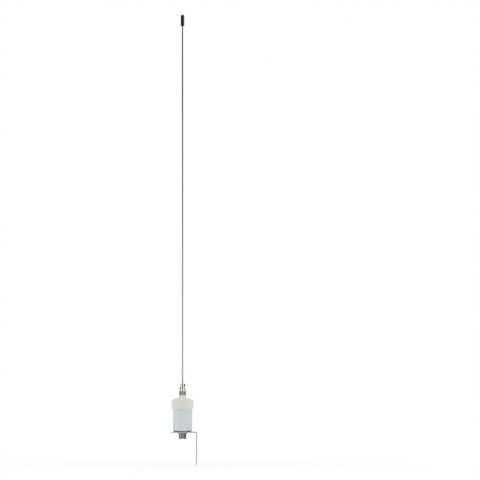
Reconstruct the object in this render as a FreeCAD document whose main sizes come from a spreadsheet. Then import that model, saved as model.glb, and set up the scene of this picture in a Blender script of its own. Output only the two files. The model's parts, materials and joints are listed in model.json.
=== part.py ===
import FreeCAD, Part
import math
import os

import Sketcher

Vector = FreeCAD.Vector

# Driving sizes, in millimetres and degrees
SIZES = {
    # Bracket, a strip of sheet with one fold
    "sheet_thickness": 2.0,
    "bracket_width": 38.0,
    "plate_length": 54.4,
    "leg_height": 71.0,
    "bend_radius": 1.2,
    "corner_radius": 6.0,
    "axis_to_leg": 30.6,
    "bolt_radius": 3.25,
    "bolt_spacing": 36.0,
    "bolt_edge": 14.0,
    # Gasket under the housing
    "gasket_thickness": 1.5,
    "gasket_radius": 18.0,
    "gasket_round": 0.4,
    # Housing, the moulded cup
    "housing_radius": 20.5,
    "housing_wall": 2.6,
    "housing_floor": 3.2,
    "housing_show": 47.2,
    "housing_foot_round": 1.8,
    "housing_rim_round": 0.5,
    "housing_floor_round": 1.5,
    # Cap over the housing
    "skirt_wall": 2.35,
    "skirt_height": 17.8,
    "skirt_edge_round": 0.8,
    "skirt_gap": 0.15,
    "dome_rise": 4.8,
    "dome_radius": 34.0,
    "dome_edge_round": 1.6,
    "neck_wall": 1.2,
    "neck_flare": 0.9,
    "neck_height": 6.5,
    "neck_root_round": 0.8,
    "rim_roof": 2.8,
    "roof_drop": 4.2,
    "roof_play": 0.5,
    # Ring seals
    "cap_groove_depth": 1.4,
    "cap_groove_drop": 4.0,
    "seal_radius": 0.8,
    "seal_play": 0.1,
    "stud_seal_margin": 0.24,
    "flange_seal_margin": 0.31,
    # Stud through the neck
    "stud_radius": 4.76,
    "stud_reach": 9.5,
    "stud_head": 4.5,
    "stud_across": 16.0,
    "stud_chamfer": 0.7,
    # Ferrule that grips the whip
    "ferrule_base_radius": 7.5,
    "ferrule_collar": 8.2,
    "ferrule_collar_radius": 6.95,
    "ferrule_shoulder": 11.8,
    "ferrule_shoulder_radius": 5.95,
    "ferrule_top_radius": 4.2,
    "ferrule_edge_round": 0.6,
    "ferrule_thread_spare": 1.0,
    "ferrule_web": 1.8,
    "whip_grip": 12.0,
    # Set screws
    "screw_radius": 1.5,
    "screw_length": 4.8,
    "screw_point": 0.5,
    "screw_key": 1.5,
    "screw_key_depth": 1.8,
    "screw_margin": 2.9,
    "upper_screw_turn": -35.0,
    "lower_screw_turn": 180.0,
    # Whip and its soft end
    "whip_length": 790.0,
    "whip_base_radius": 1.6,
    "whip_end_radius": 1.25,
    "tip_length": 24.5,
    "tip_wall": 2.45,
    "tip_crown": 4.0,
    "tip_top_round": 3.2,
    "tip_foot_round": 2.0,
    # Coaxial socket
    "thread_radius": 7.94,
    "thread_bite": 0.35,
    "thread_show": 10.4,
    "thread_chamfer": 0.5,
    "flange_rim": 0.8,
    "flange_thickness": 2.5,
    "collar_radius": 7.0,
    "collar_height": 4.0,
    "socket_radius": 6.15,
    "socket_depth": 9.0,
    "back_radius": 4.5,
    "back_wall": 1.5,
    "notch_width": 2.4,
    "notch_depth": 1.2,
    "contact_radius": 2.8,
    "contact_bore": 2.0,
    "contact_recess": 1.2,
    "contact_floor": 0.8,
    "contact_slot": 0.6,
    "contact_slot_depth": 5.5,
    "stem_radius": 1.5,
    "insulator_back": 1.0,
    "cup_radius": 2.0,
    "cup_length": 5.0,
    "cup_bore": 1.2,
    "cup_bore_depth": 4.0,
    # Nut and washer under the bracket
    "nut_thickness": 2.2,
    "nut_across": 19.05,
    "washer_thickness": 0.7,
    "washer_width": 1.71,
    "washer_notch_depth": 0.7,
    "washer_notch_width": 1.1,
    # Solder tags
    "tag_thickness": 0.6,
    "tag_ring_radius": 9.0,
    "tag_tail_width": 5.0,
    "tag_tail_margin": 2.4,
    # Coil, its form and its wires
    "form_wall": 1.9,
    "form_end_gap": 0.2,
    "wire_radius": 0.9,
    "groove_depth": 0.4,
    "coil_lift": 12.0,
    "coil_length": 22.5,
    "lead_run": 8.0,
    "lead_bend": 2.0,
    "feed_radius": 0.6,
    "feed_bend": 2.5,
    # Clearances
    "fit_gap": 0.05,
    "slide_gap": 0.1,
    "hole_gap": 0.25,
}

COIL_TURNS = 5
TAP_TURN = 1
RIM_NOTCHES = 4
CONTACT_SLOTS = 4
WASHER_NOTCHES = 12
NUT_CHAMFER_SLOPE = math.tan(math.radians(30))
TINY = 1e-9
MATCH = 1e-4

# Levels of the stack, each as a formula of the driving sizes.
# Height zero is the middle of the bolt holes, and the leg's outer face lies at x = 0.
AXIS_X = "-Dims.axis_to_leg"
PLATE_TOP = "(Dims.leg_height - Dims.bolt_edge - Dims.bolt_spacing / 2)"
HOUSING_BASE = f"({PLATE_TOP} + Dims.gasket_thickness)"
FLOOR_TOP = f"({HOUSING_BASE} + Dims.housing_floor)"
FLANGE_TOP = f"({FLOOR_TOP} + Dims.flange_thickness)"
FORM_BASE = f"({FLANGE_TOP} + Dims.tag_thickness)"
COIL_BASE = f"({FORM_BASE} + Dims.coil_lift)"
SKIRT_BASE = f"({HOUSING_BASE} + Dims.housing_show)"
DOME_TOP = "(Dims.skirt_height + Dims.dome_rise)"
ROOF_HEIGHT = f"({DOME_TOP} - Dims.roof_drop)"
ROOF = f"({SKIRT_BASE} + {ROOF_HEIGHT})"
STUD_TAG_BASE = f"({ROOF} - Dims.tag_thickness)"
STUD_BASE = f"({STUD_TAG_BASE} - Dims.stud_head)"
CAP_HEIGHT = f"({DOME_TOP} + Dims.neck_height)"
FERRULE_BASE = f"({SKIRT_BASE} + {CAP_HEIGHT})"
THREAD_DEPTH = "(Dims.stud_reach + Dims.ferrule_thread_spare)"
WHIP_FLOOR = f"({THREAD_DEPTH} + Dims.ferrule_web)"
FERRULE_HEIGHT = f"({WHIP_FLOOR} + Dims.whip_grip)"
SCREW_HEIGHTS = {
    "lower": f"({WHIP_FLOOR} + Dims.screw_margin)",
    "upper": f"({FERRULE_HEIGHT} - Dims.screw_margin)",
}
WHIP_BASE = f"({FERRULE_BASE} + {WHIP_FLOOR})"
TIP_BORE_DEPTH = "(Dims.tip_length - Dims.tip_crown)"
TIP_BASE = f"({WHIP_BASE} + Dims.whip_length - {TIP_BORE_DEPTH})"
WASHER_BASE = f"({PLATE_TOP} - Dims.sheet_thickness - Dims.washer_thickness)"
NUT_BASE = f"({WASHER_BASE} - Dims.nut_thickness)"
MOUTH = f"({NUT_BASE} - Dims.thread_show)"

# Sizes shared between neighbours
CLEAR_HOLE = "(Dims.thread_radius + Dims.hole_gap)"
PITCH_RADIUS = "(Dims.thread_radius - Dims.thread_bite)"
HOUSING_BORE = "(Dims.housing_radius - Dims.housing_wall)"
HOUSING_LAP = "(Dims.skirt_height - Dims.rim_roof)"
HOUSING_HEIGHT = f"(Dims.housing_show + {HOUSING_LAP})"
SKIRT_BORE = "(Dims.housing_radius + Dims.skirt_gap)"
SKIRT_RADIUS = f"({SKIRT_BORE} + Dims.skirt_wall)"
STUD_BORE = "(Dims.stud_radius + Dims.slide_gap)"
WHIP_BORE = "(Dims.whip_base_radius + Dims.fit_gap)"
FORM_BORE = "(Dims.collar_radius + Dims.slide_gap)"
FORM_RADIUS = f"({FORM_BORE} + Dims.form_wall)"
FORM_LENGTH = f"({STUD_BASE} - {FORM_BASE} - Dims.form_end_gap)"
COIL_RADIUS = f"({FORM_RADIUS} + Dims.wire_radius - Dims.groove_depth)"
GROOVE_RADIUS = "(Dims.wire_radius + Dims.fit_gap)"
BARREL_LENGTH = f"({FLOOR_TOP} - {MOUTH})"
CONNECTOR_LENGTH = f"({BARREL_LENGTH} + Dims.flange_thickness + Dims.collar_height)"
SEAT_HEIGHT = f"({BARREL_LENGTH} + Dims.flange_thickness - Dims.back_wall)"
SEAL_GROOVE = "(Dims.seal_radius + Dims.seal_play)"
FLANGE_SEAL = f"({CLEAR_HOLE} + Dims.seal_radius + Dims.flange_seal_margin)"
STUD_SEAL = f"({STUD_BORE} + Dims.seal_radius + Dims.stud_seal_margin)"
CAP_SEAL_SECTION = "((Dims.cap_groove_depth + Dims.skirt_gap) / 2)"
LEAD_RADIUS = f"(({COIL_RADIUS} ^ 2 + Dims.lead_run ^ 2) ^ 0.5)"
LEAD_ANGLE = f"atan2(Dims.lead_run; {COIL_RADIUS})"
TAG_END = f"({LEAD_RADIUS} + Dims.tag_tail_margin)"
ROOF_RADIUS = f"(({TAG_END} ^ 2 + (Dims.tag_tail_width / 2) ^ 2) ^ 0.5 + Dims.roof_play)"
LEAD_HOLE = "(Dims.wire_radius + Dims.slide_gap)"
TAP_HEIGHT = f"(Dims.coil_lift + Dims.coil_length * {TAP_TURN} / {COIL_TURNS})"

doc = FreeCAD.newDocument("whip_antenna")
sheet = doc.addObject("Spreadsheet::Sheet", "Dims")


# Sheet, sketches and features

def fill_sheet():
    for row, (name, size) in enumerate(SIZES.items(), start=1):
        sheet.set(f"A{row}", name)
        sheet.set(f"B{row}", str(size))
        sheet.setAlias(f"B{row}", name)
    doc.recompute()


def number(formula):
    return float(sheet.evalExpression(formula))


def new_body(label, x, z):
    body = doc.addObject("PartDesign::Body", label)
    body.Label = label
    body.setExpression(".Placement.Base.x", x)
    body.setExpression(".Placement.Base.z", z)
    return body


def turn_body(body, angle):
    body.Placement = FreeCAD.Placement(Vector(), FreeCAD.Rotation(Vector(0, 0, 1), number(angle)))
    body.setExpression(".Placement.Rotation.Angle", angle)


def origin_feature(body, role):
    return [item for item in body.Origin.OriginFeatures if item.Role == role][0]


def new_sketch(body, plane, name, lift="0", turn=None):
    """Sketch on a plane of the body, lifted off it and turned about the sketch's upright."""
    sketch = body.newObject("Sketcher::SketchObject", name)
    sketch.AttachmentSupport = [(origin_feature(body, plane), "")]
    sketch.MapMode = "FlatFace"
    sketch.setExpression(".AttachmentOffset.Base.z", lift)
    if turn is not None:
        upright = FreeCAD.Rotation(Vector(0, 1, 0), number(turn))
        sketch.AttachmentOffset = FreeCAD.Placement(Vector(), upright)
        sketch.setExpression(".AttachmentOffset.Rotation.Angle", turn)
    return sketch


def hold(sketch, kind, place, formula):
    index = sketch.addConstraint(Sketcher.Constraint(kind, *place, number(formula)))
    sketch.setExpression(f"Constraints[{index}]", formula)


def hold_point(sketch, item, end, x, y):
    for kind, formula, axis in (("DistanceX", x, -2), ("DistanceY", y, -1)):
        length = number(formula)
        if abs(length) < TINY:
            sketch.addConstraint(Sketcher.Constraint("PointOnObject", item, end, axis))
        elif length > 0:
            hold(sketch, kind, (-1, 1, item, end), formula)
        else:
            hold(sketch, kind, (item, end, -1, 1), f"-({formula})")


def arc_between(start, end, radius):
    """Arc that runs anticlockwise from start to end."""
    chord = end - start
    middle = (start + end) * 0.5
    side = Vector(-chord.y, chord.x, 0).normalize()
    center = middle + side * math.sqrt(radius ** 2 - (chord.Length / 2) ** 2)
    angles = [math.atan2(point.y - center.y, point.x - center.x) for point in (start, end)]
    return Part.ArcOfCircle(Part.Circle(center, Vector(0, 0, 1), radius), *angles)


def draw_outline(sketch, corners, arcs=None, closed=True):
    """Edges through the corners in turn; arcs gives the radius of each round edge by its index."""
    arcs = arcs or {}
    points = [Vector(number(x), number(y), 0) for x, y in corners]
    edge_count = len(points) if closed else len(points) - 1
    items = []
    for index in range(edge_count):
        start = points[index]
        end = points[(index + 1) % len(points)]
        if index in arcs:
            edge = arc_between(start, end, number(arcs[index]))
        else:
            edge = Part.LineSegment(start, end)
        items.append(sketch.addGeometry(edge))
    for index, item in enumerate(items):
        hold_point(sketch, item, 1, *corners[index])
        if closed or index + 1 < edge_count:
            following = items[(index + 1) % edge_count]
            sketch.addConstraint(Sketcher.Constraint("Coincident", item, 2, following, 1))
        else:
            hold_point(sketch, item, 2, *corners[index + 1])
        if index in arcs:
            hold(sketch, "Radius", (item,), arcs[index])


def draw_circle(sketch, x, y, radius):
    circle = Part.Circle(Vector(number(x), number(y), 0), Vector(0, 0, 1), number(radius))
    item = sketch.addGeometry(circle)
    hold_point(sketch, item, 3, x, y)
    hold(sketch, "Radius", (item,), radius)


def draw_box(sketch, left, low, right, high):
    draw_outline(sketch, [(left, low), (right, low), (right, high), (left, high)])


def draw_hexagon(sketch, across):
    """Hexagon with flats facing both ways along the sketch's first axis."""
    corners = []
    reach = 0.5 / math.cos(math.radians(30))
    for step in range(6):
        angle = math.radians(30 + 60 * step)
        x = reach * math.cos(angle)
        y = reach * math.sin(angle)
        corners.append((f"{across} * {x:.9f}", f"{across} * {y:.9f}"))
    draw_outline(sketch, corners)


def add_feature(body, kind, sketch, name):
    feature = body.newObject(f"PartDesign::{kind}", name)
    feature.Profile = sketch
    return feature


def finish_cut(body, before):
    doc.recompute()
    after = body.Shape.Volume
    if not after < before - TINY:
        raise RuntimeError(f"{body.Label}: {body.Tip.Name} removes nothing")


def revolve(body, sketch, axis="V_Axis"):
    feature = add_feature(body, "Revolution", sketch, f"{sketch.Name}_turned")
    feature.ReferenceAxis = (sketch, [axis])
    feature.Angle = 360
    doc.recompute()
    return feature


def groove(body, sketch):
    before = body.Shape.Volume
    feature = add_feature(body, "Groove", sketch, f"{sketch.Name}_turned_off")
    feature.ReferenceAxis = (sketch, ["V_Axis"])
    feature.Angle = 360
    finish_cut(body, before)
    return feature


def pad(body, sketch, length, side="One side"):
    feature = add_feature(body, "Pad", sketch, f"{sketch.Name}_raised")
    feature.SideType = side
    feature.setExpression("Length", length)
    doc.recompute()
    return feature


def pocket(body, sketch, length=None, side="One side", backward=False):
    """Cut of a given length, or through everything when no length is given."""
    before = body.Shape.Volume
    feature = add_feature(body, "Pocket", sketch, f"{sketch.Name}_cut")
    feature.SideType = side
    feature.Reversed = backward
    if length is None:
        feature.Type = "ThroughAll"
    else:
        feature.setExpression("Length", length)
    finish_cut(body, before)
    return feature


def repeat_round(body, feature, count):
    before = body.Shape.Volume
    pattern = body.newObject("PartDesign::PolarPattern", f"{feature.Name}_ring")
    pattern.Originals = [feature]
    pattern.Axis = (origin_feature(body, "Z_Axis"), [""])
    pattern.Angle = 360
    pattern.Occurrences = count
    body.Tip = pattern
    finish_cut(body, before)
    return pattern


def sweep(body, section, path, name):
    feature = add_feature(body, "AdditivePipe", section, name)
    feature.Spine = path
    doc.recompute()
    return feature


def rim_names(body, radius, height):
    """Names of the round edges at one radius and height about the body's own axis."""
    names = []
    for index, edge in enumerate(body.Tip.Shape.Edges, start=1):
        curve = edge.Curve
        if not isinstance(curve, Part.Circle):
            continue
        same_size = abs(curve.Radius - number(radius)) < MATCH
        same_height = abs(curve.Center.z - number(height)) < MATCH
        if same_size and same_height and math.hypot(curve.Center.x, curve.Center.y) < MATCH:
            names.append(f"Edge{index}")
    if not names:
        raise RuntimeError(f"{body.Label}: no rim of radius {radius} at height {height}")
    return names


def fold_names(body, direction, place):
    """Names of the straight edges along one direction whose middles lie at the given coordinates."""
    names = []
    for index, edge in enumerate(body.Tip.Shape.Edges, start=1):
        if not isinstance(edge.Curve, Part.Line):
            continue
        if abs(abs(edge.Curve.Direction.dot(direction)) - 1) > MATCH:
            continue
        middle = edge.CenterOfMass
        if all(abs(getattr(middle, axis) - number(formula)) < MATCH for axis, formula in place.items()):
            names.append(f"Edge{index}")
    if not names:
        raise RuntimeError(f"{body.Label}: no straight edge at {place}")
    return names


def dress(body, kind, size_name, names, size):
    base = body.Tip
    feature = body.newObject(f"PartDesign::{kind}", f"{body.Name}_{kind.lower()}_{len(body.Group)}")
    feature.Base = (base, names)
    feature.setExpression(size_name, size)
    doc.recompute()
    return feature


def round_edges(body, names, radius):
    return dress(body, "Fillet", "Radius", names, radius)


def bevel_edges(body, names, size):
    return dress(body, "Chamfer", "Size", names, size)


def ring_seal(label, height, ring_radius, section_radius):
    body = new_body(label, AXIS_X, height)
    section = new_sketch(body, "XZ_Plane", f"{label}_section")
    draw_circle(section, ring_radius, "0", section_radius)
    revolve(body, section)
    return body


# Bracket and the pieces that clamp to it

def make_bracket():
    body = new_body("mounting_bracket", "-Dims.plate_length", f"{PLATE_TOP} - Dims.leg_height")
    inner_x = "(Dims.plate_length - Dims.sheet_thickness)"
    inner_z = "(Dims.leg_height - Dims.sheet_thickness)"
    fold = new_sketch(body, "XZ_Plane", "bracket_fold")
    draw_outline(fold, [
        ("0", inner_z),
        (inner_x, inner_z),
        (inner_x, "0"),
        ("Dims.plate_length", "0"),
        ("Dims.plate_length", "Dims.leg_height"),
        ("0", "Dims.leg_height"),
    ])
    pad(body, fold, "Dims.bracket_width", side="Symmetric")
    across = Vector(0, 1, 0)
    round_edges(body, fold_names(body, across, {"x": inner_x, "z": inner_z}), "Dims.bend_radius")
    outer_fold = fold_names(body, across, {"x": "Dims.plate_length", "z": "Dims.leg_height"})
    round_edges(body, outer_fold, "Dims.bend_radius + Dims.sheet_thickness")
    for side in ("-Dims.bracket_width / 2", "Dims.bracket_width / 2"):
        plate_corner = fold_names(body, Vector(0, 0, 1), {"x": "0", "y": side})
        round_edges(body, plate_corner, "Dims.corner_radius")
        leg_corner = fold_names(body, Vector(1, 0, 0), {"y": side, "z": "0"})
        round_edges(body, leg_corner, "Dims.corner_radius")
    socket_hole = new_sketch(body, "XY_Plane", "bracket_socket_hole")
    draw_circle(socket_hole, "Dims.plate_length - Dims.axis_to_leg", "0", CLEAR_HOLE)
    pocket(body, socket_hole, side="Symmetric")
    bolt_holes = new_sketch(body, "YZ_Plane", "bracket_bolt_holes")
    draw_circle(bolt_holes, "0", "Dims.bolt_edge", "Dims.bolt_radius")
    draw_circle(bolt_holes, "0", "Dims.bolt_edge + Dims.bolt_spacing", "Dims.bolt_radius")
    pocket(body, bolt_holes, side="Symmetric")
    return body


def make_base_gasket():
    body = new_body("base_gasket", AXIS_X, PLATE_TOP)
    section = new_sketch(body, "XZ_Plane", "gasket_section")
    draw_box(section, CLEAR_HOLE, "0", "Dims.gasket_radius", "Dims.gasket_thickness")
    revolve(body, section)
    rims = rim_names(body, "Dims.gasket_radius", "0")
    rims += rim_names(body, "Dims.gasket_radius", "Dims.gasket_thickness")
    round_edges(body, rims, "Dims.gasket_round")
    return body


def make_lock_washer():
    body = new_body("lock_washer", AXIS_X, WASHER_BASE)
    ring = new_sketch(body, "XY_Plane", "washer_ring")
    bore = f"({PITCH_RADIUS} + Dims.slide_gap)"
    draw_circle(ring, "0", "0", f"{bore} + Dims.washer_width")
    draw_circle(ring, "0", "0", bore)
    pad(body, ring, "Dims.washer_thickness")
    gap = new_sketch(body, "XY_Plane", "washer_gap")
    half_width = "Dims.washer_notch_width / 2"
    draw_box(gap, f"{bore} / 2", f"-{half_width}", f"{bore} + Dims.washer_notch_depth", half_width)
    gap_cut = pocket(body, gap, "Dims.washer_thickness", backward=True)
    repeat_round(body, gap_cut, WASHER_NOTCHES)
    return body


def make_jam_nut():
    body = new_body("jam_nut", AXIS_X, NUT_BASE)
    outline = new_sketch(body, "XY_Plane", "nut_outline")
    draw_hexagon(outline, "Dims.nut_across")
    draw_circle(outline, "0", "0", f"{PITCH_RADIUS} + Dims.fit_gap")
    pad(body, outline, "Dims.nut_thickness")
    flat = "(Dims.nut_across / 2)"
    far = f"({flat} * 1.3)"
    drop = f"(({far} - {flat}) * {NUT_CHAMFER_SLOPE:.6f})"
    lower = new_sketch(body, "XZ_Plane", "nut_lower_chamfer")
    draw_outline(lower, [(flat, "0"), (far, "0"), (far, drop)])
    groove(body, lower)
    upper = new_sketch(body, "XZ_Plane", "nut_upper_chamfer")
    top = "Dims.nut_thickness"
    draw_outline(upper, [(flat, top), (far, f"{top} - {drop}"), (far, top)])
    groove(body, upper)
    return body


# Coaxial socket

def make_connector_body():
    body = new_body("connector_body", AXIS_X, MOUTH)
    flange_top = f"({BARREL_LENGTH} + Dims.flange_thickness)"
    groove_in = f"({FLANGE_SEAL} - {SEAL_GROOVE})"
    groove_out = f"({FLANGE_SEAL} + {SEAL_GROOVE})"
    groove_top = f"({BARREL_LENGTH} + Dims.seal_radius * 2)"
    flange_radius = f"({groove_out} + Dims.flange_rim)"
    section = new_sketch(body, "XZ_Plane", "connector_section")
    # The thread is drawn at its outer radius where it shows, and at its pitch radius in the nut
    draw_outline(section, [
        ("Dims.socket_radius", "0"),
        ("Dims.thread_radius", "0"),
        ("Dims.thread_radius", "Dims.thread_show"),
        (PITCH_RADIUS, "Dims.thread_show"),
        (PITCH_RADIUS, BARREL_LENGTH),
        (groove_in, BARREL_LENGTH),
        (groove_in, groove_top),
        (groove_out, groove_top),
        (groove_out, BARREL_LENGTH),
        (flange_radius, BARREL_LENGTH),
        (flange_radius, flange_top),
        ("Dims.collar_radius", flange_top),
        ("Dims.collar_radius", CONNECTOR_LENGTH),
        ("Dims.back_radius", CONNECTOR_LENGTH),
        ("Dims.back_radius", SEAT_HEIGHT),
        ("Dims.socket_radius", SEAT_HEIGHT),
    ])
    revolve(body, section)
    bevel_edges(body, rim_names(body, "Dims.thread_radius", "0"), "Dims.thread_chamfer")
    bevel_edges(body, rim_names(body, "Dims.collar_radius", CONNECTOR_LENGTH), "Dims.thread_chamfer")
    notch = new_sketch(body, "XZ_Plane", "connector_notch")
    draw_box(notch, "Dims.socket_radius / 2", "0", "Dims.thread_radius * 1.5", "Dims.notch_depth")
    notch_cut = pocket(body, notch, "Dims.notch_width", side="Symmetric")
    repeat_round(body, notch_cut, RIM_NOTCHES)
    return body


def make_connector_insulator():
    body = new_body("connector_insulator", AXIS_X, f"{MOUTH} + Dims.socket_depth")
    seat = f"({SEAT_HEIGHT} - Dims.socket_depth)"
    height = f"({CONNECTOR_LENGTH} - Dims.socket_depth + Dims.insulator_back)"
    bore = "(Dims.stem_radius + Dims.fit_gap)"
    section = new_sketch(body, "XZ_Plane", "insulator_section")
    draw_outline(section, [
        (bore, "0"),
        ("Dims.socket_radius - Dims.fit_gap", "0"),
        ("Dims.socket_radius - Dims.fit_gap", seat),
        ("Dims.back_radius - Dims.fit_gap", seat),
        ("Dims.back_radius - Dims.fit_gap", height),
        (bore, height),
    ])
    revolve(body, section)
    return body


def make_centre_contact():
    body = new_body("centre_contact", AXIS_X, f"{MOUTH} + Dims.contact_recess")
    tube_end = "(Dims.socket_depth - Dims.contact_recess)"
    bore_end = f"({tube_end} - Dims.contact_floor)"
    stem_end = f"({CONNECTOR_LENGTH} + Dims.insulator_back - Dims.contact_recess)"
    cup_end = f"({stem_end} + Dims.cup_length)"
    cup_floor = f"({cup_end} - Dims.cup_bore_depth)"
    section = new_sketch(body, "XZ_Plane", "contact_section")
    draw_outline(section, [
        ("Dims.contact_bore", "0"),
        ("Dims.contact_radius", "0"),
        ("Dims.contact_radius", tube_end),
        ("Dims.stem_radius", tube_end),
        ("Dims.stem_radius", stem_end),
        ("Dims.cup_radius", stem_end),
        ("Dims.cup_radius", cup_end),
        ("Dims.cup_bore", cup_end),
        ("Dims.cup_bore", cup_floor),
        ("0", cup_floor),
        ("0", bore_end),
        ("Dims.contact_bore", bore_end),
    ])
    revolve(body, section)
    slot = new_sketch(body, "XZ_Plane", "contact_slot")
    draw_box(slot, "Dims.contact_bore / 2", "0", "Dims.contact_radius * 1.5", "Dims.contact_slot_depth")
    slot_cut = pocket(body, slot, "Dims.contact_slot", side="Symmetric")
    repeat_round(body, slot_cut, CONTACT_SLOTS)
    return body


# Housing and cap

def make_coil_housing():
    body = new_body("coil_housing", AXIS_X, HOUSING_BASE)
    groove_wall = "(Dims.housing_radius - Dims.cap_groove_depth)"
    groove_top = f"({HOUSING_HEIGHT} - Dims.cap_groove_drop)"
    groove_low = f"({groove_top} - ({CAP_SEAL_SECTION} + Dims.seal_play) * 2)"
    section = new_sketch(body, "XZ_Plane", "housing_section")
    draw_outline(section, [
        (CLEAR_HOLE, "0"),
        ("Dims.housing_radius", "0"),
        ("Dims.housing_radius", groove_low),
        (groove_wall, groove_low),
        (groove_wall, groove_top),
        ("Dims.housing_radius", groove_top),
        ("Dims.housing_radius", HOUSING_HEIGHT),
        (HOUSING_BORE, HOUSING_HEIGHT),
        (HOUSING_BORE, "Dims.housing_floor"),
        (CLEAR_HOLE, "Dims.housing_floor"),
    ])
    revolve(body, section)
    round_edges(body, rim_names(body, "Dims.housing_radius", "0"), "Dims.housing_foot_round")
    round_edges(body, rim_names(body, HOUSING_BORE, "Dims.housing_floor"), "Dims.housing_floor_round")
    rims = rim_names(body, "Dims.housing_radius", HOUSING_HEIGHT)
    rims += rim_names(body, HOUSING_BORE, HOUSING_HEIGHT)
    round_edges(body, rims, "Dims.housing_rim_round")
    return body


def make_coil_cap():
    body = new_body("coil_cap", AXIS_X, SKIRT_BASE)
    seal_wall = f"({STUD_SEAL} + {SEAL_GROOVE})"
    seal_floor = f"({CAP_HEIGHT} - Dims.seal_radius * 2)"
    neck_top = f"({seal_wall} + Dims.neck_wall)"
    neck_foot = f"({neck_top} + Dims.neck_flare)"
    section = new_sketch(body, "XZ_Plane", "cap_section")
    draw_outline(section, [
        (SKIRT_BORE, "0"),
        (SKIRT_RADIUS, "0"),
        (SKIRT_RADIUS, "Dims.skirt_height"),
        (neck_foot, DOME_TOP),
        (neck_top, CAP_HEIGHT),
        (seal_wall, CAP_HEIGHT),
        (seal_wall, seal_floor),
        (STUD_BORE, seal_floor),
        (STUD_BORE, ROOF_HEIGHT),
        (ROOF_RADIUS, ROOF_HEIGHT),
        (HOUSING_BORE, HOUSING_LAP),
        (SKIRT_BORE, HOUSING_LAP),
    ], arcs={2: "Dims.dome_radius"})
    revolve(body, section)
    round_edges(body, rim_names(body, SKIRT_RADIUS, "0"), "Dims.skirt_edge_round")
    round_edges(body, rim_names(body, SKIRT_RADIUS, "Dims.skirt_height"), "Dims.dome_edge_round")
    round_edges(body, rim_names(body, neck_foot, DOME_TOP), "Dims.neck_root_round")
    return body


def make_cap_seal():
    ring = f"({SKIRT_BORE} - {CAP_SEAL_SECTION})"
    drop = f"(Dims.cap_groove_drop + {CAP_SEAL_SECTION} + Dims.seal_play)"
    height = f"{HOUSING_BASE} + {HOUSING_HEIGHT} - {drop}"
    return ring_seal("cap_seal", height, ring, CAP_SEAL_SECTION)


def make_connector_seal():
    height = f"{FLOOR_TOP} + Dims.seal_radius"
    return ring_seal("connector_seal", height, FLANGE_SEAL, "Dims.seal_radius")


def make_stud_seal():
    height = f"{FERRULE_BASE} - Dims.seal_radius"
    return ring_seal("stud_seal", height, STUD_SEAL, "Dims.seal_radius")


# Coil and its wiring

def make_tag(label, height, bore, angle):
    body = new_body(label, AXIS_X, height)
    turn_body(body, angle)
    ring = new_sketch(body, "XY_Plane", f"{label}_ring")
    draw_circle(ring, "0", "0", "Dims.tag_ring_radius")
    pad(body, ring, "Dims.tag_thickness")
    tail = new_sketch(body, "XY_Plane", f"{label}_tail")
    half_width = "Dims.tag_tail_width / 2"
    draw_box(tail, "0", f"-{half_width}", TAG_END, half_width)
    pad(body, tail, "Dims.tag_thickness")
    holes = new_sketch(body, "XY_Plane", f"{label}_holes")
    draw_circle(holes, "0", "0", bore)
    draw_circle(holes, LEAD_RADIUS, "0", LEAD_HOLE)
    pocket(body, holes, "Dims.tag_thickness", backward=True)
    return body


def make_ground_tag():
    return make_tag("ground_tag", FLANGE_TOP, FORM_BORE, f"-{LEAD_ANGLE}")


def make_stud_tag():
    return make_tag("stud_tag", STUD_TAG_BASE, STUD_BORE, LEAD_ANGLE)


def make_top_stud():
    body = new_body("top_stud", AXIS_X, STUD_BASE)
    head = new_sketch(body, "XY_Plane", "stud_head")
    draw_hexagon(head, "Dims.stud_across")
    pad(body, head, "Dims.stud_head")
    shank = new_sketch(body, "XY_Plane", "stud_shank")
    draw_circle(shank, "0", "0", "Dims.stud_radius")
    length = f"({FERRULE_BASE} + Dims.stud_reach - {STUD_BASE})"
    pad(body, shank, length)
    bevel_edges(body, rim_names(body, "Dims.stud_radius", length), "Dims.stud_chamfer")
    return body


def make_coil_form():
    body = new_body("coil_form", AXIS_X, FORM_BASE)
    section = new_sketch(body, "XZ_Plane", "form_section")
    draw_box(section, FORM_BORE, "0", FORM_RADIUS, FORM_LENGTH)
    revolve(body, section)
    bed = new_sketch(body, "XZ_Plane", "form_bed")
    draw_circle(bed, COIL_RADIUS, "Dims.coil_lift", GROOVE_RADIUS)
    before = body.Shape.Volume
    bed_cut = add_feature(body, "SubtractiveHelix", bed, "form_bed_cut")
    wind(bed_cut, bed)
    finish_cut(body, before)
    ends = (("cold", "Dims.coil_lift", True), ("hot", "Dims.coil_lift + Dims.coil_length", False))
    for name, height, backward in ends:
        exit_bed = new_sketch(body, "XZ_Plane", f"form_{name}_exit")
        draw_circle(exit_bed, COIL_RADIUS, height, GROOVE_RADIUS)
        pocket(body, exit_bed, "Dims.lead_run", backward=backward)
    tap_hole = new_sketch(body, "YZ_Plane", "form_tap_hole")
    draw_circle(tap_hole, "0", TAP_HEIGHT, "Dims.feed_radius + Dims.slide_gap")
    pocket(body, tap_hole, f"{FORM_RADIUS} * 1.5", backward=True)
    return body


def wind(feature, sketch):
    feature.ReferenceAxis = (sketch, ["V_Axis"])
    feature.Mode = "height-turns-angle"
    feature.setExpression("Height", "Dims.coil_length")
    feature.Turns = COIL_TURNS


def add_lead(body, name, start, end):
    """Wire that leaves the winding in a straight line, bends and runs along to its tag."""
    side = 1 if number(end) > number(start) else -1
    path = new_sketch(body, "YZ_Plane", f"{name}_path", lift=COIL_RADIUS)
    draw_outline(path, [
        ("0", start),
        (f"{side} * (Dims.lead_run - Dims.lead_bend)", start),
        (f"{side} * Dims.lead_run", f"{start} + {side} * Dims.lead_bend"),
        (f"{side} * Dims.lead_run", end),
    ], {1: "Dims.lead_bend"}, closed=False)
    section = new_sketch(body, "XZ_Plane", f"{name}_section")
    draw_circle(section, COIL_RADIUS, start, "Dims.wire_radius")
    sweep(body, section, path, name)


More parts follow.
